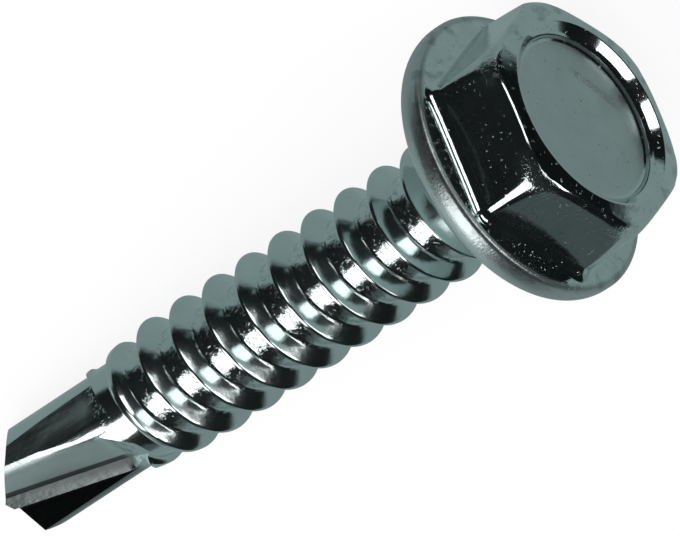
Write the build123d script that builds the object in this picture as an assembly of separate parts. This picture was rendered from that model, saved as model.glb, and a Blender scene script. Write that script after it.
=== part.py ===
from build123d import *

import math
import os

# A hexagon washer head self-drilling screw. Head, thread and drill point are one
# piece of steel. It is modelled upright, with the bearing face under the flange at
# z = 0, the head above it and the drill point below it. At the end it is laid on
# its side, the way it rests on a table, with its head towards +X and the centre of
# its bearing face still at the origin. Lengths are millimetres, angles degrees.
# Directions are turned about the axis, from +X to +Y of the upright screw.

# Flange, the washer that is forged in one with the head
FLANGE_DIAMETER = 10.5
FLANGE_THICKNESS = 1.4
FLANGE_SEAT_DIAMETER = 7.8
FLANGE_FALL = 2.0
RIM_LOWER_RADIUS = 0.95
RIM_UPPER_RADIUS = 0.2

# Hexagon
HEAD_HEIGHT = 4.34
HEX_ACROSS_FLATS = 8.0
HEX_CORNER_RADIUS = 0.45
HEX_FOOT_RADIUS = 0.4
HEX_DIRECTION = -9.6

# Crown, the top of the head: it falls from a round ridge and steepens at the corners
RIDGE_DIAMETER = 6.96
CROWN_FALL = 14.0
CROWN_CORNER_DIAMETER = 8.55
CROWN_CORNER_FALL = 62.0
CROWN_RADIUS = 0.45

# Dish, the shallow round hollow inside the ridge
DISH_FLOOR_DIAMETER = 5.99
DISH_BEND_DIAMETER = 6.07
DISH_BEND_DEPTH = 0.32
DISH_DEPTH = 0.55
DISH_FLOOR_RADIUS = 0.13
DISH_BEND_RADIUS = 0.25

# Thread, right-handed with one start
THREAD_DIAMETER = 4.8
ROOT_DIAMETER = 3.5
PITCH = 1.6
FLANK_ANGLE = 60.0
CREST_WIDTH = 0.1
FIRST_CREST_DEPTH = 0.47
RUNOUT_DEPTH = 0.8
NECK_RADIUS = 0.7

# Lead-in, where the thread grows from the drill to its full depth
LEAD_IN_DIAMETER = 4.0
LEAD_IN_ANGLE = 8.0
COLLAR_DIAMETER = 3.8
COLLAR_LENGTH = 1.4
COLLAR_TAPER_LENGTH = 1.2

# Drill point
LENGTH = 24.18
DRILL_DIAMETER = 3.7
DRILL_LENGTH = 5.77
SHOULDER_SLOPE = 26.3
SHOULDER_DIRECTION = -12.3
POINT_ANGLE = 118.8
RELIEF_ANGLE = 40.9

# Flutes: two, each a rake face and a floor that meet in a valley
FLUTE_COUNT = 2
FLUTE_LENGTH = 5.73
FLUTE_END_LENGTH = 1.95
FLUTE_END_LIFT = 0.8
WEB_THICKNESS = 0.47
VALLEY_RISE = 13.0
VALLEY_DIRECTION = 42.5
VALLEY_RADIUS = 0.2
RAKE_DIRECTION = 48.6
FLOOR_DIRECTION_AT_POINT = -59.0
FLOOR_DIRECTION_AT_SHOULDER = -71.0
HEEL_RADIUS = 0.5

# Direction of the side that the screw lies on
LYING_DIRECTION = 177.2

# Room that a cutter or a joint reaches past the faces that it meets
OVERLAP = 0.12


def toward(direction, distance=1.0):
    """A vector square to the axis, in a direction in degrees."""
    angle = math.radians(direction)
    return Vector(distance * math.cos(angle), distance * math.sin(angle), 0)


def turned(points):
    """A solid of revolution about the axis from (radius, height) points."""
    outline = Polyline(*[(radius, 0, height) for radius, height in points], close=True)
    return revolve(make_face(outline), Axis.Z)


def ring_edge(body, diameter):
    """The circular edge that has this diameter."""
    circles = body.edges().filter_by(GeomType.CIRCLE)
    return circles.filter_by(lambda edge: abs(edge.radius - diameter / 2) < 1e-4)


def flange():
    """The round washer: it falls towards its rim, which is fully rounded below."""
    rim = FLANGE_DIAMETER / 2
    seat = FLANGE_SEAT_DIAMETER / 2
    rim_height = FLANGE_THICKNESS - (rim - seat) * math.tan(math.radians(FLANGE_FALL))
    disc = turned([(0, 0), (rim, 0), (rim, rim_height), (seat, FLANGE_THICKNESS), (0, FLANGE_THICKNESS)])
    disc = fillet(ring_edge(disc, FLANGE_DIAMETER).group_by(Axis.Z)[0], RIM_LOWER_RADIUS)
    return fillet(ring_edge(disc, FLANGE_DIAMETER).group_by(Axis.Z)[-1], RIM_UPPER_RADIUS)


def crown():
    """The round body whose top is the crown, wider than the corners of the hexagon."""
    ridge_radius = RIDGE_DIAMETER / 2
    corner_radius = CROWN_CORNER_DIAMETER / 2
    corner_height = HEAD_HEIGHT - (corner_radius - ridge_radius) * math.tan(math.radians(CROWN_FALL))
    outer_radius = 0.6 * HEX_ACROSS_FLATS
    outer_height = corner_height - (outer_radius - corner_radius) * math.tan(math.radians(CROWN_CORNER_FALL))
    body = turned(
        [
            (0, 0),
            (outer_radius, 0),
            (outer_radius, outer_height),
            (corner_radius, corner_height),
            (ridge_radius, HEAD_HEIGHT),
            (0, HEAD_HEIGHT),
        ]
    )
    return fillet(ring_edge(body, CROWN_CORNER_DIAMETER), CROWN_RADIUS)


def hexagon():
    """The six flats, whose top is cut to the crown."""
    outline = RegularPolygon(HEX_ACROSS_FLATS / 2, 6, major_radius=False, rotation=HEX_DIRECTION)
    outline = fillet(outline.vertices(), HEX_CORNER_RADIUS)
    return extrude(outline, HEAD_HEIGHT) & crown()


def foot_edges(blank):
    """The edges where the flats and corners of the hexagon stand on the flange."""
    lowest = FLANGE_THICKNESS - 0.3
    at_foot = blank.edges().filter_by_position(Axis.Z, lowest, FLANGE_THICKNESS)
    beyond_rim = FLANGE_DIAMETER / 2 - 0.3
    return at_foot.filter_by(lambda edge: math.hypot(edge.center().X, edge.center().Y) < beyond_rim).filter_by(
        lambda edge: edge.length < HEX_ACROSS_FLATS
    )


def dished(blank):
    """The head with its dish sunk in the top."""
    floor = HEAD_HEIGHT - DISH_DEPTH
    bend = HEAD_HEIGHT - DISH_BEND_DEPTH
    widening = (RIDGE_DIAMETER - DISH_BEND_DIAMETER) / 2
    dish = turned(
        [
            (0, floor),
            (DISH_FLOOR_DIAMETER / 2, floor),
            (DISH_BEND_DIAMETER / 2, bend),
            (RIDGE_DIAMETER / 2 + widening, HEAD_HEIGHT + DISH_BEND_DEPTH),
            (0, HEAD_HEIGHT + DISH_BEND_DEPTH),
        ]
    )
    dish = fillet(ring_edge(dish, DISH_BEND_DIAMETER), DISH_BEND_RADIUS)
    dish = fillet(ring_edge(dish, DISH_FLOOR_DIAMETER), DISH_FLOOR_RADIUS)
    return blank - dish


def neck():
    """The plain core just under the head, with the fillet that runs into the bearing face."""
    root = ROOT_DIAMETER / 2
    flare = root + NECK_RADIUS
    side = Polyline(
        (flare, 0),
        (flare, FLANGE_THICKNESS / 2),
        (0, FLANGE_THICKNESS / 2),
        (0, -RUNOUT_DEPTH),
        (root, -RUNOUT_DEPTH),
        (root, -NECK_RADIUS),
    )
    fillet_arc = RadiusArc((root, -NECK_RADIUS), (flare, 0), NECK_RADIUS)
    return revolve(Plane.XZ * make_face(side + fillet_arc), Axis.Z)


def ridge():
    """The thread's ridge as one helical sweep, from below the drill's shoulder to the head."""
    root = ROOT_DIAMETER / 2 - OVERLAP
    crest = THREAD_DIAMETER / 2
    half_crest = CREST_WIDTH / 2
    half_root = half_crest + (crest - root) * math.tan(math.radians(FLANK_ANGLE / 2))
    outline = Polyline(
        (root, 0, -half_root),
        (crest, 0, -half_crest),
        (crest, 0, half_crest),
        (root, 0, half_root),
        close=True,
    )
    turns = math.ceil((LENGTH - DRILL_LENGTH) / PITCH) + 1
    path = Helix(PITCH, turns * PITCH, root)
    swept = Solid.sweep(make_face(outline).face(), path, is_frenet=True)
    return Pos(0, 0, -FIRST_CREST_DEPTH - turns * PITCH + PITCH) * swept


def thread_room():
    """The turned shape that the thread stays inside: a lead-in cone and a run-out at the head."""
    past_crest = THREAD_DIAMETER / 2 + OVERLAP
    root = ROOT_DIAMETER / 2
    bottom = DRILL_LENGTH - LENGTH - PITCH
    growth = math.tan(math.radians(LEAD_IN_ANGLE))
    lead_in = LEAD_IN_DIAMETER / 2 - PITCH * growth
    outline = Polyline(
        (0, bottom),
        (lead_in, bottom),
        (past_crest, bottom + (past_crest - lead_in) / growth),
        (past_crest, root - past_crest - RUNOUT_DEPTH),
        (root, -RUNOUT_DEPTH),
        (0, -RUNOUT_DEPTH),
        close=True,
    )
    return revolve(Plane.XZ * make_face(outline), Axis.Z)


def collar():
    """The thicker stretch of core next to the drill, which tapers into the thread's root."""
    inside = ROOT_DIAMETER / 2 - OVERLAP
    radius = COLLAR_DIAMETER / 2
    taper = (radius - ROOT_DIAMETER / 2) / COLLAR_TAPER_LENGTH
    taper_start = DRILL_LENGTH - LENGTH + COLLAR_LENGTH
    taper_end = taper_start + (radius - inside) / taper
    outline = Polyline(
        (0, -LENGTH),
        (radius, -LENGTH),
        (radius, taper_start),
        (inside, taper_end),
        (0, taper_end),
        close=True,
    )
    return revolve(Plane.XZ * make_face(outline), Axis.Z)


def threaded_shaft():
    """Core, collar and thread, cut off along the two sloping planes of the drill's shoulder.

    The core starts out longer than the ridge at both ends, and their common room trims it.
    """
    above_shoulder = roof(DRILL_LENGTH - LENGTH, SHOULDER_SLOPE, SHOULDER_DIRECTION)
    above_ridge = 2 * PITCH
    bar_length = LENGTH + above_ridge
    bar = Cylinder(ROOT_DIAMETER / 2, bar_length, align=(Align.CENTER, Align.CENTER, Align.MAX))
    shaft = (Pos(0, 0, above_ridge) * bar + ridge()) & thread_room() & above_shoulder
    return shaft + (collar() & above_shoulder)


def roof(apex_height, slope, direction):
    """All the room above two planes that rise to both sides of a level line through the axis."""
    reach = FLANGE_DIAMETER
    side_height = apex_height + reach * math.tan(math.radians(slope))
    across = Plane(origin=(0, 0, 0), x_dir=toward(direction), z_dir=toward(direction - 90))
    outline = Polyline(
        (0, apex_height),
        (reach, side_height),
        (reach, reach),
        (-reach, reach),
        (-reach, side_height),
        close=True,
    )
    return extrude(across * make_face(outline), reach, both=True)


def drill_blank():
    """The plain round drill with the two flanks of its point."""
    lip_slope = 1 / math.tan(math.radians(POINT_ANGLE / 2))
    relief_slope = math.tan(math.radians(RELIEF_ANGLE))
    steepest = math.degrees(math.atan(math.hypot(lip_slope, relief_slope)))
    fall = RAKE_DIRECTION + math.degrees(math.atan2(relief_slope, lip_slope))
    length = DRILL_LENGTH + COLLAR_LENGTH
    bar = Cylinder(DRILL_DIAMETER / 2, length, align=(Align.CENTER, Align.CENTER, Align.MIN))
    return Pos(0, 0, -LENGTH) * bar & roof(-LENGTH, steepest, fall)


def flute_outline(height, valley_distance, floor_direction, lift=0.0):
    """Section of the flute cutter at a height: rake face, valley, floor and rounded heel."""
    along_rake = toward(RAKE_DIRECTION)
    along_floor = toward(floor_direction)
    out_of_floor = toward(floor_direction + 90)
    valley = toward(VALLEY_DIRECTION, valley_distance)
    opening = math.radians(RAKE_DIRECTION - floor_direction)
    bisector = toward((RAKE_DIRECTION + floor_direction) / 2)
    setback = VALLEY_RADIUS / math.tan(opening / 2)
    valley_bottom = valley + bisector * VALLEY_RADIUS * (1 / math.sin(opening / 2) - 1)

    floor_distance = valley.dot(out_of_floor)
    heel_reach = DRILL_DIAMETER / 2 + OVERLAP / 4 - HEEL_RADIUS
    heel_offset = floor_distance - HEEL_RADIUS
    heel_centre = out_of_floor * heel_offset + along_floor * math.sqrt(heel_reach**2 - heel_offset**2)
    heel_start = heel_centre + out_of_floor * HEEL_RADIUS
    heel_end = heel_centre + heel_centre.normalized() * HEEL_RADIUS
    heel_middle = heel_centre + (heel_start + heel_end - heel_centre * 2).normalized() * HEEL_RADIUS

    rake_start = valley + along_rake * setback
    rake_end = valley + along_rake * FLANGE_DIAMETER / 2
    floor_start = valley + along_floor * setback
    outside = heel_end + heel_end.normalized() * DRILL_DIAMETER
    shift = Vector(0, 0, height) + out_of_floor * lift
    edges = [
        Line(rake_start, rake_end),
        Line(rake_end, outside),
        Line(outside, heel_end),
        ThreePointArc(heel_end, heel_middle, heel_start),
        Line(heel_start, floor_start),
        ThreePointArc(floor_start, valley_bottom, rake_start),
    ]
    return Pos(shift) * make_face(edges)


def flute_cutter():
    """The room of one flute: it gets shallower from the point up and then lifts out."""
    shoulder = -LENGTH + FLUTE_LENGTH
    below = -LENGTH - OVERLAP
    rise_per_length = math.tan(math.radians(VALLEY_RISE))
    sections = []
    for share in (0.0, 0.5, 1.0):
        height = below + share * (shoulder - below)
        turn = share * (FLOOR_DIRECTION_AT_SHOULDER - FLOOR_DIRECTION_AT_POINT)
        distance = WEB_THICKNESS / 2 + rise_per_length * (height - below)
        sections.append(flute_outline(height, distance, FLOOR_DIRECTION_AT_POINT + turn))
    end = flute_outline(shoulder + FLUTE_END_LENGTH, distance, FLOOR_DIRECTION_AT_SHOULDER, FLUTE_END_LIFT)
    return loft(sections) + loft([sections[-1], end])


def head():
    """Flange and hexagon in one, with the dish."""
    blank = flange() + hexagon()
    return dished(fillet(foot_edges(blank), HEX_FOOT_RADIUS))


def screw():
    """The whole screw, upright, with the bearing face under the flange at z = 0."""
    body = threaded_shaft() + drill_blank() + (neck() + head())
    for index in range(FLUTE_COUNT):
        body -= Rot(0, 0, index * 360 / FLUTE_COUNT) * flute_cutter()
    return body


def lying_tilt(body):
    """The tilt at which the flange's rim and the first corner of the drill point both touch."""
    rim_centre = FLANGE_DIAMETER / 2 - RIM_LOWER_RADIUS
    tilts = []
    for corner in body.vertices():
        if corner.Z < DRILL_DIAMETER - LENGTH:
            run = RIM_LOWER_RADIUS - corner.Z
            drop = rim_centre - corner.X
            tilts.append(math.atan2(drop, run) + math.asin(RIM_LOWER_RADIUS / math.hypot(run, drop)))
    return math.degrees(min(tilts))


def lying(body):
    """The screw on its side: it rests on the flange's rim and two corners of the drill point."""
    turned = Rot(0, 0, -LYING_DIRECTION) * body
    return Rot(0, 90 - lying_tilt(turned), 0) * turned


def main():
    os.makedirs("parts", exist_ok=True)
    body = lying(screw()).solids()[0]
    export_step(body, "parts/screw.step")


main()
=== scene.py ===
import math
from math import radians

import bmesh
import bpy
from mathutils import Matrix, Vector

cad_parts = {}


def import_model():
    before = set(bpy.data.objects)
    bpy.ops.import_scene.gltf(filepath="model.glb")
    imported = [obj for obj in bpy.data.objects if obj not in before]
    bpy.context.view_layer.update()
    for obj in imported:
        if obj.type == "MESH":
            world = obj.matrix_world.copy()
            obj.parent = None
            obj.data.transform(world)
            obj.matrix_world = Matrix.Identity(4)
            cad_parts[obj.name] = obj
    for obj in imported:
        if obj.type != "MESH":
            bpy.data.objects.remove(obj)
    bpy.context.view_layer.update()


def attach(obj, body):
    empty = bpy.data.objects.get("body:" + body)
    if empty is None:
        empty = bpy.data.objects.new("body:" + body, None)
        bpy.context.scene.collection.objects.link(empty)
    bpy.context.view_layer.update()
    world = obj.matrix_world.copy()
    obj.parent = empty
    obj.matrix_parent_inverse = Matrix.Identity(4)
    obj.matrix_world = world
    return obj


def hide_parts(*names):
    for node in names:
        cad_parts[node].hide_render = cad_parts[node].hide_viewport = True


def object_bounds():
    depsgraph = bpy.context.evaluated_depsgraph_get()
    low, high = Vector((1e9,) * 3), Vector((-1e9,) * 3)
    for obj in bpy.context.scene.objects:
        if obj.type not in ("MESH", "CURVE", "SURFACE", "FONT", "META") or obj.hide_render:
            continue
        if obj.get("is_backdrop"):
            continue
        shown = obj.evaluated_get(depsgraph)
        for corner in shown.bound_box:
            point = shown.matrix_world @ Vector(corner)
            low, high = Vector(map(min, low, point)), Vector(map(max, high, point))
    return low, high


# ---------------------------------------------------------------- sizes
# The screw is shaped upright, bearing face at z = 0 and point downwards, then laid down. Lengths
# are in millimetres, angles and directions in degrees, and slopes worked out with tan are rise
# over run.

# Flange and hexagon. The hexagon's corners are rounder at the top than at the foot.
HEAD_HEIGHT = 4.336
FLANGE_RADIUS = 5.24
FLANGE_THICKNESS = 1.4
FLANGE_FALL = 2.0
RIM_LOWER = 0.95
RIM_UPPER = 0.2
HEX_APOTHEM = 4.02
HEX_CORNER = 0.4
HEX_CORNER_TOP = 0.95
HEX_FOOT = 0.4
HEX_DIRECTION = -9.6

# Crown, from the sharp ridge around the dish out to the corners
CROWN_EDGE = 0.24
CROWN_FALL = 14.0
CROWN_SHOULDER = 4.08
CROWN_ROUND = 0.45
CROWN_STEEPEST = 62.0
RIDGE = 3.48
RIDGE_ROUND = 0.1

# Dish, which slopes down from the ridge, bends into a short wall and has a flat floor
DISH_SLOPE = 38.0
DISH_BEND = 3.18
DISH_ROUND = 0.36
WALL_SLOPE = 80.0
DISH_FLOOR_ROUND = 0.4
DISH_FLOOR_RISE = 32.0
DISH_DEPTH = 0.55

# Thread. The softenings round the profile's corners, by half their value at the corner itself.
CREST = 2.395
ROOT = 1.75
PITCH = 1.6
FIRST_CREST = -0.47
HALF_CREST = 0.05
FLANK = 30
CREST_SOFTENING = 0.03
ROOT_SOFTENING = 0.06
NECK = 0.7
RUNOUT = 0.8

# Length under the head, the sloping shoulder above the drill and the collar between it and the core.
# LEAD_IN is how far the thread reaches at the shoulder, from where it grows to its full crest.
LENGTH = 24.15
SHOULDER = -18.41
SHOULDER_SLOPE = 26.3
SHOULDER_DIRECTION = -12.3
COLLAR = 1.9
COLLAR_TOP = -17.01
COLLAR_END = -15.81
LEAD_IN = 2.0
LEAD_IN_GROWTH = math.tan(radians(8.0))

# Drill, the two flanks of its point, its flutes and the facet along each land. Each flute has a
# rake face, a rounded valley and a floor that runs out to the rounded heel.
DRILL = 1.85
LIP_SLOPE = 1 / math.tan(radians(59.4))
RELIEF_SLOPE = math.tan(radians(40.9))
RAKE = 48.6
WEB = 0.235
VALLEY_RISE = math.tan(radians(13.0))
VALLEY = 42.5
VALLEY_RADIUS = 0.2
FLUTE_FLOOR_AT_POINT = -59.0
FLUTE_FLOOR_AT_SHOULDER = -71.0
FLUTE_LENGTH = 5.73
FLUTE_END = 1.95
FLUTE_LIFT = 0.8
HEEL = 0.58
FACET = 1.84
FACET_DIRECTION = -57.0
FACET_SLOPE = 1.1

# How it lies on the floor
LYING_DIRECTION = 177.2
LYING_TILT = 9.5874


def toward(direction, distance=1.0):
    """A point square to the axis, in a direction in degrees."""
    angle = radians(direction)
    return Vector((distance * math.cos(angle), distance * math.sin(angle), 0.0))


TURN_ROUND = Matrix.Rotation(radians(-LYING_DIRECTION), 4, "Z")
LAY_DOWN = Matrix.Rotation(radians(90 - LYING_TILT), 4, "Y") @ TURN_ROUND


# ---------------------------------------------------------------- mesh helpers

def tube(rows, columns, place):
    """A tube spun from a line of vertices, each then moved to place(row, column)."""
    bm = bmesh.new()
    line = [bm.verts.new((1.0, 0.0, float(row))) for row in range(rows)]
    edges = [bm.edges.new(pair) for pair in zip(line, line[1:])]
    bmesh.ops.spin(
        bm,
        geom=line + edges,
        axis=(0, 0, 1),
        cent=(0, 0, 0),
        angle=2 * math.pi,
        steps=columns,
        use_merge=True,
    )
    for vert in bm.verts:
        row = round(vert.co.z)
        column = round(math.atan2(vert.co.y, vert.co.x) / (2 * math.pi) * columns) % columns
        vert.co = place(row, column)
    return bm


def close(bm):
    """Merges doubles, closes every open loop and turns all faces outward."""
    bmesh.ops.remove_doubles(bm, verts=bm.verts, dist=1e-5)
    bmesh.ops.dissolve_degenerate(bm, dist=1e-6, edges=bm.edges)
    open_edges = [edge for edge in bm.edges if edge.is_boundary]
    if open_edges:
        bmesh.ops.holes_fill(bm, edges=open_edges, sides=0)
    bmesh.ops.recalc_face_normals(bm, faces=bm.faces)
    return bm


def slice_off(bm, place, away):
    """Cuts off what lies beyond a plane through a place, on the side it faces, and closes the cut."""
    geom = bm.verts[:] + bm.edges[:] + bm.faces[:]
    cut = bmesh.ops.bisect_plane(bm, geom=geom, dist=1e-6, plane_co=place, plane_no=away, clear_outer=True)
    loop = [item for item in cut["geom_cut"] if isinstance(item, bmesh.types.BMEdge)]
    bmesh.ops.holes_fill(bm, edges=loop, sides=0)


def cut_below(bm, height, slope, direction):
    """Cuts away what is below two planes that rise to both sides of a line through the axis."""
    for side in (0, 180):
        outward = toward(direction + side) * math.sin(radians(slope))
        slice_off(bm, Vector((0, 0, height)), outward - Vector((0, 0, math.cos(radians(slope)))))


def solid(name, bm):
    """A mesh object from a finished bmesh."""
    mesh = bpy.data.meshes.new(name)
    bm.to_mesh(mesh)
    bm.free()
    obj = bpy.data.objects.new(name, mesh)
    bpy.context.scene.collection.objects.link(obj)
    return obj


def combine(body, other, operation):
    """Adds another closed solid to a body, or cuts it away, and keeps the result as mesh."""
    modifier = body.modifiers.new(operation, "BOOLEAN")
    modifier.operation = operation
    modifier.solver = "EXACT"
    modifier.object = other
    graph = bpy.context.evaluated_depsgraph_get()
    result = bpy.data.meshes.new_from_object(body.evaluated_get(graph))
    body.modifiers.clear()
    old = body.data
    body.data = result
    bpy.data.meshes.remove(old)
    bpy.data.objects.remove(other)


# ---------------------------------------------------------------- head

# Steps along the outline of the hexagon
FLAT_STEPS = 18
CORNER_STEPS = 10
SECTOR_STEPS = FLAT_STEPS + CORNER_STEPS
# Where the rows of vertices lie: distances from the axis, or shares of a stretch
BEARING_ROWS = (0.0, 1.2, 2.6)
BEARING_MARGIN = 0.1
WALL_SHARES = (0.03, 0.2, 0.4, 0.6, 0.8, 0.97)
EDGE_STEPS = 8
CROWN_SHARES = (0.97, 0.9, 0.82, 0.74, 0.66, 0.58, 0.5, 0.42, 0.34, 0.26, 0.18, 0.1, 0.04)
DISH_ROWS = (2.6, 2.2, 1.7, 1.2, 0.7, 0.3, 0.0)


def hexagon(column, grow=0.0, rounding=HEX_CORNER):
    """A point of the rounded hexagon's outline, offset outward by grow."""
    sector, step = divmod(column, SECTOR_STEPS)
    corner_reach = (HEX_APOTHEM - rounding) / math.cos(radians(30))
    first = HEX_DIRECTION + 60 * sector
    if step <= CORNER_STEPS:
        turn = -30 + 60 * step / CORNER_STEPS
        return toward(first, corner_reach) + toward(first + turn, rounding + grow)
    share = (step - CORNER_STEPS) / FLAT_STEPS
    start = toward(first, corner_reach) + toward(first + 30, rounding + grow)
    end = toward(first + 60, corner_reach) + toward(first + 30, rounding + grow)
    return start.lerp(end, share)


def arc(centre, radius, start, end, steps):
    """Points on an arc in the plane of the axis, as (distance from the axis, height)."""
    points = []
    for step in range(steps + 1):
        angle = radians(start + (end - start) * step / steps)
        points.append((centre[0] + radius * math.cos(angle), centre[1] + radius * math.sin(angle)))
    return points


def flange_top(distance):
    """Height of the flange's upper side, which falls a little towards its rim."""
    return FLANGE_THICKNESS - max(distance - HEX_APOTHEM, 0.0) * math.tan(radians(FLANGE_FALL))


def dish_wall():
    """The dish from its ridge down to the floor, as points (distance from the axis, height)."""
    bottom = HEAD_HEIGHT - DISH_DEPTH
    points = arc((RIDGE, HEAD_HEIGHT - RIDGE_ROUND), RIDGE_ROUND, 90 - CROWN_FALL, 90 + DISH_SLOPE, 7)
    foot, height = points[-1]
    height -= (foot - DISH_BEND) * math.tan(radians(DISH_SLOPE))
    slope = radians(DISH_SLOPE)
    centre = (DISH_BEND + DISH_ROUND * math.sin(slope), height - DISH_ROUND * math.cos(slope))
    points += arc(centre, DISH_ROUND, 90 + DISH_SLOPE, 90 + WALL_SLOPE, 8)
    wall = radians(WALL_SLOPE)
    foot, height = points[-1]
    rest = bottom + DISH_FLOOR_ROUND * (1 - math.cos(radians(DISH_FLOOR_RISE)))
    foot -= (height - rest) / math.tan(wall)
    centre = (foot - DISH_FLOOR_ROUND * math.sin(radians(DISH_FLOOR_RISE)), bottom + DISH_FLOOR_ROUND)
    points += arc(centre, DISH_FLOOR_ROUND, DISH_FLOOR_RISE - 90, -90, 8)
    return points


def crown_height(distance):
    """Height of the crown, which falls from the ridge, then rounds over into the corners."""
    start = RIDGE + RIDGE_ROUND * math.sin(radians(CROWN_FALL))
    top = HEAD_HEIGHT - RIDGE_ROUND * (1 - math.cos(radians(CROWN_FALL)))
    if distance <= CROWN_SHOULDER:
        return top - (distance - start) * math.tan(radians(CROWN_FALL))
    shoulder = top - (CROWN_SHOULDER - start) * math.tan(radians(CROWN_FALL))
    lean = math.sin(radians(CROWN_FALL)) + (distance - CROWN_SHOULDER) / CROWN_ROUND
    steepest = math.sin(radians(CROWN_STEEPEST))
    beyond = max(lean - steepest, 0.0) * CROWN_ROUND * math.tan(radians(CROWN_STEEPEST))
    turned = math.cos(radians(CROWN_FALL)) - math.cos(math.asin(min(lean, steepest)))
    return shoulder - CROWN_ROUND * turned - beyond


def head_rows():
    """The head's rows from the middle of its bearing face over the rim to the middle of the dish.

    Each row is (kind, value, height). A round row has its radius as the value, a foot row how far
    it stands off the hexagon, a wall row its share of the wall, an edge row its share of the
    rounded edge, and a top row its share of the way from the ridge to that edge.
    """
    rim = FLANGE_RADIUS - RIM_LOWER
    rows = [("round", distance, 0.0) for distance in BEARING_ROWS + (rim - BEARING_MARGIN,)]
    rows += [("round", *point) for point in arc((rim, RIM_LOWER), RIM_LOWER, -90, 0, 16)]
    end = 90 - FLANGE_FALL
    reach = FLANGE_RADIUS - RIM_UPPER * (1 - math.cos(radians(end)))
    middle = flange_top(reach) - RIM_UPPER * math.sin(radians(end))
    rows += [("round", *point) for point in arc((FLANGE_RADIUS - RIM_UPPER, middle), RIM_UPPER, 0, end, 8)]
    for point in arc((HEX_FOOT, HEX_FOOT), HEX_FOOT, -90, -180, 12):
        rows.append(("foot", point[0], point[1]))
    rows += [("wall", share, 0.0) for share in WALL_SHARES]
    rows += [("edge", step / EDGE_STEPS, 0.0) for step in range(EDGE_STEPS + 1)]
    rows += [("top", share, 0.0) for share in CROWN_SHARES]
    rows += [("round", *point) for point in dish_wall()]
    rows += [("round", distance, HEAD_HEIGHT - DISH_DEPTH) for distance in DISH_ROWS]
    return rows


def head():
    """Flange, hexagon, crown and dish in one closed shell."""
    rows = head_rows()
    columns = 6 * SECTOR_STEPS

    def place(row, column):
        kind, value, height = rows[row]
        worn = value if kind == "wall" else 1.0
        outline = hexagon(column, 0.0, HEX_CORNER + worn**2 * (HEX_CORNER_TOP - HEX_CORNER))
        outward = outline.normalized()
        reach = outline.length
        if kind == "round":
            return outward * value + Vector((0, 0, height))
        if kind == "foot":
            foot = hexagon(column, value)
            return foot + Vector((0, 0, flange_top(foot.length) + height))
        wall_top = crown_height(reach) - CROWN_EDGE
        wall_foot = flange_top(reach) + HEX_FOOT
        if kind == "wall":
            return outline + Vector((0, 0, wall_foot + value * (wall_top - wall_foot)))
        inner = reach - CROWN_EDGE
        on_top = outward * inner + Vector((0, 0, crown_height(inner)))
        if kind == "edge":
            on_wall = outline + Vector((0, 0, wall_top))
            corner = outline + Vector((0, 0, crown_height(reach)))
            return on_wall.lerp(corner, value).lerp(corner.lerp(on_top, value), value)
        start = RIDGE + RIDGE_ROUND * math.sin(radians(CROWN_FALL))
        distance = start + value * (inner - start)
        return outward * distance + Vector((0, 0, crown_height(distance)))

    return close(tube(len(rows), columns, place))


# ---------------------------------------------------------------- thread

TURN_STEPS = 96
BOTTOM = SHOULDER - 0.4
TOP = 0.5
# The profile's vertices, by their distance along the axis from the crest, closest where it bends
CREST_PROFILE = (0.035, 0.06, 0.085, 0.12, 0.17, 0.22, 0.27, 0.32)
ROOT_PROFILE = (0.36, 0.39, 0.42, 0.45, 0.5, 0.58, 0.68, PITCH / 2)
PROFILE = CREST_PROFILE + ROOT_PROFILE


def softer(a, b, rounding, sign):
    """The larger (sign 1) or smaller (sign -1) of two lengths, with the corner between them rounded."""
    return (a + b + sign * math.sqrt((a - b) ** 2 + rounding**2)) / 2


def core_radius(height):
    """Radius of the round core: collar, taper, root and the fillet into the head."""
    if height > -NECK:
        up = min(height, 0.0) + NECK
        return ROOT + NECK - math.sqrt(NECK**2 - up**2)
    if height > COLLAR_END:
        return ROOT
    share = min((COLLAR_END - height) / (COLLAR_END - COLLAR_TOP), 1.0)
    return ROOT + (COLLAR - ROOT) * share


def thread_radius(off_crest, height):
    """Radius of the threaded surface at a distance along the axis from the ridge's crest."""
    steep = 1 / math.tan(radians(FLANK))
    ridge = CREST + steep * (HALF_CREST - abs(off_crest))
    limit = min(CREST, LEAD_IN + LEAD_IN_GROWTH * (height - SHOULDER), ROOT - RUNOUT - height)
    ridge = softer(ridge, limit, CREST_SOFTENING, -1)
    return softer(core_radius(height), ridge, ROOT_SOFTENING, 1)


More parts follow.
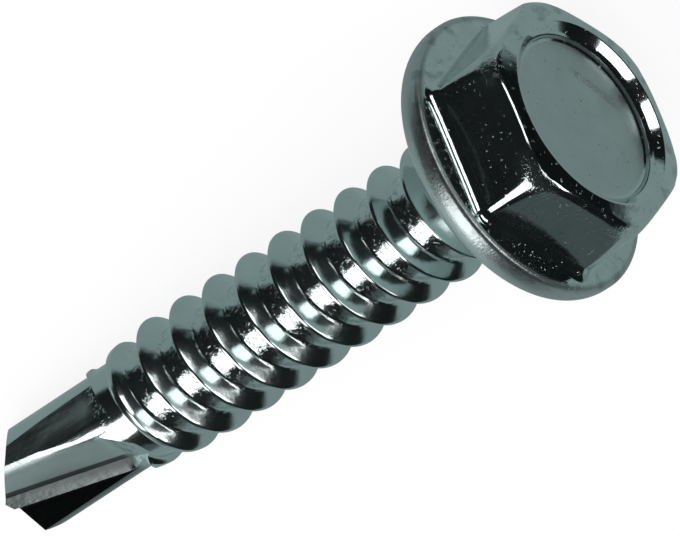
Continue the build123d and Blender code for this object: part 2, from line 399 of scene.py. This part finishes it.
def shaft():
    """Core and thread from one turn of a helical sweep, repeated and cut off at the drill's shoulder."""
    bm = bmesh.new()
    offsets = [-value for value in reversed(PROFILE)] + [0.0] + list(PROFILE)
    turns = math.ceil((TOP - BOTTOM) / PITCH) + 2
    lowest = FIRST_CREST - PITCH * math.ceil((FIRST_CREST - BOTTOM) / PITCH + 1)
    line = [bm.verts.new((1.0, 0.0, lowest + value)) for value in offsets]
    edges = [bm.edges.new(pair) for pair in zip(line, line[1:])]
    bmesh.ops.spin(
        bm,
        geom=line + edges,
        axis=(0, 0, 1),
        cent=(0, 0, 0),
        dvec=(0, 0, PITCH / TURN_STEPS),
        angle=2 * math.pi,
        steps=TURN_STEPS,
    )
    first_turn = bm.verts[:] + bm.edges[:] + bm.faces[:]
    for turn in range(1, turns):
        copy = bmesh.ops.duplicate(bm, geom=first_turn)["geom"]
        copied = [item for item in copy if isinstance(item, bmesh.types.BMVert)]
        bmesh.ops.translate(bm, verts=copied, vec=(0, 0, turn * PITCH))
    bmesh.ops.remove_doubles(bm, verts=bm.verts, dist=1e-3)
    for vert in bm.verts:
        angle = math.atan2(vert.co.y, vert.co.x)
        height = vert.co.z
        past_crest = height - FIRST_CREST - PITCH * angle / (2 * math.pi)
        off_crest = past_crest - PITCH * round(past_crest / PITCH)
        height = min(max(height, BOTTOM), TOP)
        radius = core_radius(height)
        if BOTTOM < height < 0:
            radius = thread_radius(off_crest, height)
        vert.co = toward(math.degrees(angle), radius) + Vector((0, 0, height))
    close(bm)
    cut_below(bm, SHOULDER, SHOULDER_SLOPE, SHOULDER_DIRECTION)
    return close(bm)


# ---------------------------------------------------------------- drill point

# How far a flute cutter stands outside the drill on its two sides and below the point, and the
# steps of the meshes
DRILL_SEGMENTS = 192
CUTTER_REACH = 5.25
HEEL_OUTSIDE = 0.03
SIDE_STEPS = 8
HEEL_STEPS = 10
RISING_ROWS = 24
LIFTING_ROWS = 6
BELOW_POINT = 0.12


def drill():
    """The round drill with the two flanks of its point and a facet along each land."""
    bm = bmesh.new()
    blank = 2 * (LENGTH + COLLAR_TOP)
    bmesh.ops.create_cone(
        bm, cap_ends=True, segments=DRILL_SEGMENTS, radius1=DRILL, radius2=DRILL, depth=blank
    )
    bmesh.ops.translate(bm, verts=bm.verts, vec=(0, 0, -LENGTH))
    steepest = math.degrees(math.atan(math.hypot(LIP_SLOPE, RELIEF_SLOPE)))
    fall = RAKE + math.degrees(math.atan2(RELIEF_SLOPE, LIP_SLOPE))
    cut_below(bm, -LENGTH, steepest, fall)
    for turn in (0, 180):
        on_facet = toward(FACET_DIRECTION + turn, FACET) - Vector((0, 0, LENGTH))
        away = toward(FACET_DIRECTION + turn) + Vector((0, 0, math.tan(radians(FACET_SLOPE))))
        slice_off(bm, on_facet, away)
    return close(bm)


def flute_section(height, valley_distance, floor_direction, lift):
    """The outline of the flute cutter at a height: rake face, valley, floor, round heel, outside."""
    along_rake = toward(RAKE)
    along_floor = toward(floor_direction)
    out_of_floor = toward(floor_direction + 90)
    valley = toward(VALLEY, valley_distance)
    opening = radians(RAKE - floor_direction)
    setback = VALLEY_RADIUS / math.tan(opening / 2)
    centre = valley + toward((RAKE + floor_direction) / 2, VALLEY_RADIUS / math.sin(opening / 2))
    heel_reach = DRILL + HEEL_OUTSIDE - HEEL
    offset = valley.dot(out_of_floor) - HEEL
    heel = out_of_floor * offset + along_floor * math.sqrt(heel_reach**2 - offset**2)
    rake_start = valley + along_rake * CUTTER_REACH
    rake_end = valley + along_rake * setback
    points = [rake_start.lerp(rake_end, step / SIDE_STEPS) for step in range(SIDE_STEPS)]
    turn = 180 - math.degrees(opening)
    for step in range(SIDE_STEPS + 1):
        points.append(centre + toward(RAKE + 90 - turn * step / SIDE_STEPS, VALLEY_RADIUS))
    floor_start = valley + along_floor * setback
    floor_end = heel + out_of_floor * HEEL
    for step in range(1, SIDE_STEPS):
        points.append(floor_start.lerp(floor_end, step / SIDE_STEPS))
    first = floor_direction + 90
    last = math.degrees(math.atan2(heel.y, heel.x))
    for step in range(HEEL_STEPS + 1):
        points.append(heel + toward(first + (last - first) * step / HEEL_STEPS, HEEL))
    points.append(points[-1] * 3)
    shift = out_of_floor * lift + Vector((0, 0, height))
    return [point + shift for point in points]


def flute(turn):
    """One flute's cutter, in sections from below the point up to where it has lifted out."""
    below = -LENGTH - BELOW_POINT
    rise = FLUTE_LENGTH - LENGTH - below
    sections = []
    for row in range(RISING_ROWS + LIFTING_ROWS + 1):
        share = min(row / RISING_ROWS, 1.0)
        lift = max(row - RISING_ROWS, 0) / LIFTING_ROWS
        height = below + share * rise + lift * FLUTE_END
        distance = WEB + VALLEY_RISE * share * rise
        twist = share * (FLUTE_FLOOR_AT_SHOULDER - FLUTE_FLOOR_AT_POINT)
        floor_direction = FLUTE_FLOOR_AT_POINT + twist
        sections.append(flute_section(height, distance, floor_direction, lift * FLUTE_LIFT))
    turned = Matrix.Rotation(radians(turn), 4, "Z")
    return close(tube(len(sections), len(sections[0]), lambda row, column: turned @ sections[row][column]))


# ---------------------------------------------------------------- assembly

MILLIMETRE = 0.001
SHARP_ANGLE = 28


def screw():
    """The whole screw, united, fluted and laid on its side."""
    body = solid("screw_surface", shaft())
    combine(body, solid("drill_blank", drill()), "UNION")
    combine(body, solid("head_blank", head()), "UNION")
    for turn in (0, 180):
        combine(body, solid("flute_cutter", flute(turn)), "DIFFERENCE")
    body.data.transform(Matrix.Scale(MILLIMETRE, 4) @ LAY_DOWN)
    body.data.shade_smooth()
    body.data.set_sharp_from_angle(angle=radians(SHARP_ANGLE))
    weighted = body.modifiers.new("even_shading", "WEIGHTED_NORMAL")
    weighted.keep_sharp = True
    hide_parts("screw")
    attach(body, "root")
    return body


# ---------------------------------------------------------------- materials

class Value:
    """A shader socket that takes part in Python arithmetic by adding Math nodes."""

    def __init__(self, tree, socket):
        self.tree = tree
        self.socket = socket

    def math(self, operation, *others):
        """A Math node with this value in its first socket."""
        node = self.tree.nodes.new("ShaderNodeMath")
        node.operation = operation
        for index, item in enumerate((self,) + others):
            link_or_set(self.tree, node.inputs[index], item)
        return Value(self.tree, node.outputs[0])

    def flipped(self, operation, other):
        """A Math node with this value in its second socket."""
        node = self.tree.nodes.new("ShaderNodeMath")
        node.operation = operation
        link_or_set(self.tree, node.inputs[0], other)
        link_or_set(self.tree, node.inputs[1], self)
        return Value(self.tree, node.outputs[0])

    def __add__(self, other):
        return self.math("ADD", other)

    def __radd__(self, other):
        return self.math("ADD", other)

    def __sub__(self, other):
        return self.math("SUBTRACT", other)

    def __rsub__(self, other):
        return self.flipped("SUBTRACT", other)

    def __mul__(self, other):
        return self.math("MULTIPLY", other)

    def __rmul__(self, other):
        return self.math("MULTIPLY", other)


def link_or_set(tree, socket, item):
    """Links a socket or Value into an input, or writes a plain number or colour there."""
    if isinstance(item, Value):
        item = item.socket
    if isinstance(item, bpy.types.NodeSocket):
        tree.links.new(item, socket)
    else:
        socket.default_value = item


class Maker:
    """Adds nodes to one node tree: settings first, then values or links for the sockets."""

    def __init__(self, tree):
        self.tree = tree
        tree.nodes.clear()

    def node(self, kind, settings=None, inputs=None, output=0):
        """A new node's output as a Value, or nothing from a node that has no output."""
        made = self.tree.nodes.new(kind)
        for name, setting in (settings or {}).items():
            setattr(made, name, setting)
        for name, item in (inputs or {}).items():
            link_or_set(self.tree, made.inputs[name], item)
        if len(made.outputs) == 0:
            return None
        return Value(self.tree, made.outputs[output])

    def range(self, value, none, full):
        """0 up to the value for none, 1 from the value for full, smooth between. Either may be larger."""
        return self.node(
            "ShaderNodeMapRange",
            {"interpolation_type": "SMOOTHSTEP"},
            {"Value": value, "From Min": none, "From Max": full, "To Min": 0.0, "To Max": 1.0},
        )

    def dot(self, vector, direction):
        """How far a vector reaches in a direction."""
        return self.node(
            "ShaderNodeVectorMath", {"operation": "DOT_PRODUCT"}, {0: vector, 1: direction}, output=1
        )


ZINC = (0.61, 0.69, 0.683, 1)
# In metres, as the bump's distance is
RELIEF_HEIGHT = 0.00003
# Each zone of the finish, by what bounds it: a measure, where there is none of it and where all.
# Height and radius are those of the upright screw in millimetres, and off_rake is the distance
# from the plane of the axis and the rake direction.
THREAD_ZONE = (("height", -0.3, -1.2), ("height", -18.5, -18.0))
POINT_ZONE = (("height", -18.0, -18.6),)
ZONES = {
    "dish": (("radius", 2.98, 2.9), ("height", 3.5, 3.7)),
    "crown": (("height", 3.9, 4.1), ("radius", 3.45, 3.55)),
    "corner": (("radius", 4.12, 4.3), ("height", 3.2, 3.75)),
    "flats": (("height", 1.5, 1.8), ("height", 4.1, 3.95), ("radius", 3.6, 3.8)),
    "flange": (("radius", 4.0, 4.3), ("height", 1.0, 1.05), ("height", 1.6, 1.5)),
    "rim": (("radius", 4.9, 5.1),),
    "above_rim": (("height", 0.9, 1.3),),
    "underside": (("height", 0.75, 0.35), ("height", -0.4, -0.1)),
    "thread": THREAD_ZONE,
    "root": THREAD_ZONE + (("radius", 1.88, 1.8),),
    "point": POINT_ZONE,
    "flute": POINT_ZONE + (("off_rake", 0.25, 0.4), ("radius", 1.8, 1.7)),
    # The valley zone is used only for painted shade, which darkens the flute's valley.
    "valley": POINT_ZONE + (("off_rake", 0.66, 0.6),),
}
# The scuffed patch of the dish: its direction from the axis, its middle along it and beside it
SCUFF_DIRECTION = 102
SCUFF_ALONG = 0.46
SCUFF_BESIDE = 1.83


def zone_masks(make, place, radius):
    """A mask for each zone, 1 inside it and 0 outside."""
    measures = {
        "height": make.node("ShaderNodeSeparateXYZ", {}, {0: place}, output=2),
        "radius": radius,
        "off_rake": make.dot(place, toward(RAKE - 90)).math("ABSOLUTE"),
    }
    masks = {}
    for name, bounds in ZONES.items():
        fades = [make.range(measures[measure], none, full) for measure, none, full in bounds]
        masks[name] = fades[0]
        for fade in fades[1:]:
            masks[name] = masks[name] * fade
    return masks


def grains(make, place, radius):
    """Noises around 0.5 from broad to fine, and patches that are 1 where a noise is high or low."""

    def noise(scale, detail=2.0, stretch=(1, 1, 1), lean=(0, 0, 0)):
        """The scale is in lumps to a millimetre."""
        spot = make.node("ShaderNodeMapping", {}, {"Vector": place, "Scale": stretch, "Rotation": lean})
        return make.node("ShaderNodeTexNoise", {}, {"Vector": spot, "Scale": scale, "Detail": detail})

    ripple = noise(4.5, 3.0)
    crumb = noise(11.0, 3.0)
    dust = noise(26.0)
    rings = make.node(
        "ShaderNodeTexNoise", {"noise_dimensions": "1D"}, {"W": radius, "Scale": 14.0, "Detail": 2.0}
    )
    along = (make.dot(place, toward(SCUFF_DIRECTION)) - SCUFF_ALONG).math("ABSOLUTE")
    beside = (make.dot(place, toward(SCUFF_DIRECTION + 90)) - SCUFF_BESIDE).math("ABSOLUTE")
    patch = make.range(along, 1.35, 0.8) * make.range(beside, 0.26, 0.06)
    return {
        "swell": noise(1.1),
        "ripple": ripple,
        "crumb": crumb,
        "dust": dust,
        "streak": noise(5.0, 3.0, (1, 1, 0.16), (0.2, 0.1, 0)),
        "rings": rings,
        "wear": make.range(ripple, 0.5, 0.62),
        "tears": make.range(crumb, 0.46, 0.66),
        "pits": make.range(noise(7.0, 0.0), 0.72, 0.78),
        "specks": make.range(noise(5.5, 1.0), 0.28, 0.22),
        "stain": make.range(noise(1.7, 4.0), 0.5, 0.68),
        "scuff": patch * make.range(dust, 0.5, 0.62),
    }


def relief(zone, grain):
    """Height of the fine relief, as a share of RELIEF_HEIGHT."""
    return (
        grain["pits"] * zone["above_rim"] * (1 - zone["dish"]) * 0.15
        - zone["dish"] * grain["scuff"] * 0.5
        + grain["swell"] * 0.4
        + grain["ripple"] * 0.05
        + grain["dust"] * 0.008
        + zone["thread"] * grain["ripple"] * 0.03
        + zone["root"] * (grain["ripple"] * 0.3 + grain["wear"] * grain["tears"] * 0.25)
        + zone["corner"] * grain["tears"] * 0.16
        + zone["underside"] * (grain["crumb"] * 0.5 + grain["dust"] * 0.1)
        + zone["rim"] * (grain["crumb"] * 0.35 + grain["dust"] * 0.1)
        + zone["flats"] * grain["streak"] * 0.2
        + zone["flange"] * grain["rings"] * 0.05
        + zone["dish"] * (grain["dust"] * 0.16 + grain["crumb"] * 0.1)
        + zone["point"] * (grain["streak"] * 0.2 + grain["crumb"] * 0.03)
    )


def roughness(zone, grain):
    """Low on the bright plate, higher in the dish, on the rim, under the flange and in the flutes."""
    return (
        0.065
        + grain["swell"] * 0.04
        + zone["dish"] * (0.2 + grain["crumb"] * 0.1)
        + zone["thread"] * grain["crumb"] * 0.1
        + zone["underside"] * 0.2
        + zone["corner"] * 0.06
        + zone["rim"] * 0.24
        + zone["flats"] * grain["streak"] * 0.06
        + zone["point"] * (0.05 + grain["streak"] * 0.08)
        + zone["flute"] * 0.2
    )


def brightness(zone, grain):
    """What stains, specks, scuffs and painted shade leave of the zinc's colour: the shade is painted in
    the flute's valley, on the hexagon's flats and on the rim.
    """
    specks = grain["specks"] * 0.45 * (0.3 + zone["dish"] * 0.7)
    stains = grain["stain"] * (zone["crown"] + zone["flange"]) * 0.3
    scuffed = 1 - zone["dish"] * grain["scuff"] * 0.3
    # Painted shade: the flute's valley, the hexagon's flats and the rim are darkened to dim the lamps'
    # reflections there.
    painted_shade = (1 - zone["valley"] * 0.8) * (1 - zone["flats"] * 0.08) * (1 - zone["rim"] * 0.25)
    return (0.9 + grain["swell"] * 0.2 - specks - stains) * scuffed * painted_shade


def plated_steel():
    """Bright zinc plate over forged and rolled steel."""
    material = bpy.data.materials.new("zinc_plate")
    material.use_nodes = True
    make = Maker(material.node_tree)
    held = make.node("ShaderNodeTexCoord", output=3)
    stand_up = LAY_DOWN.inverted().to_euler("XYZ")
    to_millimetres = (1 / MILLIMETRE,) * 3
    place = make.node(
        "ShaderNodeMapping", {}, {"Vector": held, "Rotation": stand_up, "Scale": to_millimetres}
    )
    flat = make.node("ShaderNodeVectorMath", {"operation": "MULTIPLY"}, {0: place, 1: (1, 1, 0)})
    radius = make.node("ShaderNodeVectorMath", {"operation": "LENGTH"}, {0: flat}, output=1)
    zone = zone_masks(make, place, radius)
    grain = grains(make, place, radius)
    bump = make.node(
        "ShaderNodeBump", {}, {"Height": relief(zone, grain), "Distance": RELIEF_HEIGHT, "Strength": 1.0}
    )
    tone = make.node(
        "ShaderNodeMix",
        {"data_type": "RGBA", "blend_type": "MULTIPLY"},
        {0: 1.0, 6: ZINC, 7: brightness(zone, grain)},
        output=2,
    )
    shader = make.node(
        "ShaderNodeBsdfPrincipled",
        {},
        {"Base Color": tone, "Metallic": 1.0, "Roughness": roughness(zone, grain), "Normal": bump},
    )
    make.node("ShaderNodeOutputMaterial", {}, {"Surface": shader})
    return material


# ---------------------------------------------------------------- stage and camera
# The camera looks from a direction around the axis, at an angle to the axis on the head's side,
# and is turned so that the axis rises by a slope in the picture.
SEEN_FROM = -20.9
SEEN_OFF_AXIS = 56.2
AXIS_SLOPE = 33.24
LENS = 1300
SENSOR_WIDTH = 36
# The picture's size in pixels, and the pixel where the bearing face's centre is seen, nearly. The
# scale holds at a depth a little behind that centre.
PICTURE_WIDTH = 680
PICTURE_HEIGHT = 536
ORIGIN_X = 500.3
ORIGIN_Y = 172.0
PIXELS_PER_MM = 29.63
SCALE_DEPTH = 5.0

STAGE_RADIUS = 6.0
STAGE_COLOUR = (0.9, 0.9, 0.9, 1)
STAGE_GLOW = 0.85

# Where the lamps aim, about the middle of the lying screw, and how far away they are, in metres
LAMP_AIM = Vector((-0.008, 0, 0))
LAMP_DISTANCE = 0.25
# Each lamp's two ends as directions of the picture, its width in degrees and its strength
LAMPS = {
    "key": ((-0.76, -0.46, 0.46), (-0.40, -0.86, 0.30), 38, 2.8),
    "lamp_right": ((0.557, 0.237, 0.794), (0.86, -0.10, 0.50), 16, 3.0),
    "lamp_top": ((0.36, 0.54, 0.76), (0.25, 0.78, 0.57), 20, 3.0),
}

# The studio that the metal sees. A patch is a direction of the picture and the angles from it, in
# degrees, within which it is full and beyond which there is none of it.
DARK_PATCHES = (((0, -0.2, 1), 82, 89), ((0.5, 0.15, 0.85), 67, 75), ((-0.5, 0, 0.866), 69, 77))
DIM_PATCH = ((0, -0.985, -0.17), 8, 20)
BRIGHT_PATCH = ((-0.84, -0.50, -0.22), 15, 45)
DARK = 0.008
PALE = 0.333
DIMMING = 0.7
BRIGHTENING = 0.3
STUDIO_TINT = (0.78, 1, 0.98, 1)


def axes_of_view():
    """Right, up and toward-camera of the picture, in the upright screw's directions."""
    side = toward(SEEN_FROM)
    along = Vector((0, 0, 1))
    across = along.cross(side)
    rise = math.sin(radians(SEEN_OFF_AXIS))
    dip = math.cos(radians(SEEN_OFF_AXIS))
    to_camera = side * rise + along * dip
    up_axis = along * rise - side * dip
    lean = radians(AXIS_SLOPE)
    right = up_axis * math.cos(lean) + across * math.sin(lean)
    up = up_axis * math.sin(lean) - across * math.cos(lean)
    return right, up, to_camera


def to_world(right, up, back):
    """A direction given in the picture's right, up and toward-camera parts."""
    axes = [LAY_DOWN.to_3x3() @ axis for axis in axes_of_view()]
    return (axes[0] * right + axes[1] * up + axes[2] * back).normalized()


def floor():
    """A wide white floor that glows, so that it keeps only a soft shadow of the screw."""
    bm = bmesh.new()
    bmesh.ops.create_circle(bm, cap_ends=True, segments=96, radius=STAGE_RADIUS)
    bmesh.ops.translate(bm, verts=bm.verts, vec=(0, 0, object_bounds()[0].z))
    obj = solid("floor", bm)
    material = bpy.data.materials.new("white_floor")
    material.use_nodes = True
    make = Maker(material.node_tree)
    paint = make.node("ShaderNodeBsdfDiffuse", {}, {"Color": STAGE_COLOUR})
    white = make.node("ShaderNodeEmission", {}, {"Color": (1, 1, 1, 1), "Strength": 1.0})
    both = make.node("ShaderNodeMixShader", {}, {0: STAGE_GLOW, 1: paint, 2: white})
    make.node("ShaderNodeOutputMaterial", {}, {"Surface": both})
    obj.data.materials.append(material)
    obj.visible_glossy = False
    obj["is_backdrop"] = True


def softbox(name, start, end, width, strength):
    """A flat lamp facing the screw. It reaches from one direction of the picture to another."""
    first = to_world(*start)
    last = to_world(*end)
    back = (first + last).normalized()
    side = (last - first).normalized()
    data = bpy.data.lights.new(name, "AREA")
    data.shape = "RECTANGLE"
    data.size = 2 * LAMP_DISTANCE * math.tan(first.angle(last) / 2)
    data.size_y = 2 * LAMP_DISTANCE * math.tan(radians(width / 2))
    # Energy that makes its face this strong, whatever its size
    data.energy = strength * math.pi * data.size * data.size_y
    obj = bpy.data.objects.new(name, data)
    bpy.context.scene.collection.objects.link(obj)
    turned = Matrix((side, back.cross(side), back)).transposed().to_4x4()
    obj.matrix_world = Matrix.Translation(LAMP_AIM + back * LAMP_DISTANCE) @ turned
    obj.visible_camera = False


def world():
    """A white room for the camera. The metal sees a dark studio in front and pale paper around it."""
    made = bpy.data.worlds.new("studio")
    made.use_nodes = True
    make = Maker(made.node_tree)
    way = make.node("ShaderNodeTexCoord", output=0)

    def reach(direction, full, none):
        """1 within an angle of full degrees of a direction, falling to 0 at none degrees."""
        near = make.dot(way, to_world(*direction))
        return make.range(near, math.cos(radians(none)), math.cos(radians(full)))

    middle, right, left = [reach(*patch) for patch in DARK_PATCHES]
    dark = middle.math("MAXIMUM", right.math("MAXIMUM", left))
    pale = PALE * (1 - reach(*DIM_PATCH) * DIMMING) + reach(*BRIGHT_PATCH) * BRIGHTENING
    studio = pale * (1 - dark) + dark * DARK
    in_metal = make.node("ShaderNodeLightPath", output="Is Glossy Ray")
    level = in_metal * studio + (1 - in_metal)
    tint = make.node(
        "ShaderNodeMix", {"data_type": "RGBA"}, {0: in_metal, 6: (1, 1, 1, 1), 7: STUDIO_TINT}, output=2
    )
    shine = make.node("ShaderNodeBackground", {}, {"Color": tint, "Strength": level})
    make.node("ShaderNodeOutputWorld", {}, {"Surface": shine})
    bpy.context.scene.world = made


def camera():
    """A long lens far away, turned so that the head points to the upper right."""
    right, up, back = [LAY_DOWN.to_3x3() @ axis for axis in axes_of_view()]
    data = bpy.data.cameras.new("camera")
    data.lens = LENS
    data.sensor_width = SENSOR_WIDTH
    data.clip_end = 10
    obj = bpy.data.objects.new("camera", data)
    bpy.context.scene.collection.objects.link(obj)
    distance = LENS / SENSOR_WIDTH * PICTURE_WIDTH / PIXELS_PER_MM
    sideways = (PICTURE_WIDTH / 2 - ORIGIN_X) / PIXELS_PER_MM
    upward = (ORIGIN_Y - PICTURE_HEIGHT / 2) / PIXELS_PER_MM
    place = (right * sideways + up * upward + back * (distance - SCALE_DEPTH)) * MILLIMETRE
    obj.matrix_world = Matrix.Translation(place) @ Matrix((right, up, back)).transposed().to_4x4()
    bpy.context.scene.camera = obj


def main():
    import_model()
    body = screw()
    body.data.materials.clear()
    body.data.materials.append(plated_steel())
    camera()
    floor()
    world()
    for name, lamp in LAMPS.items():
        softbox(name, *lamp)
    bpy.context.scene.view_settings.view_transform = "Standard"


main()
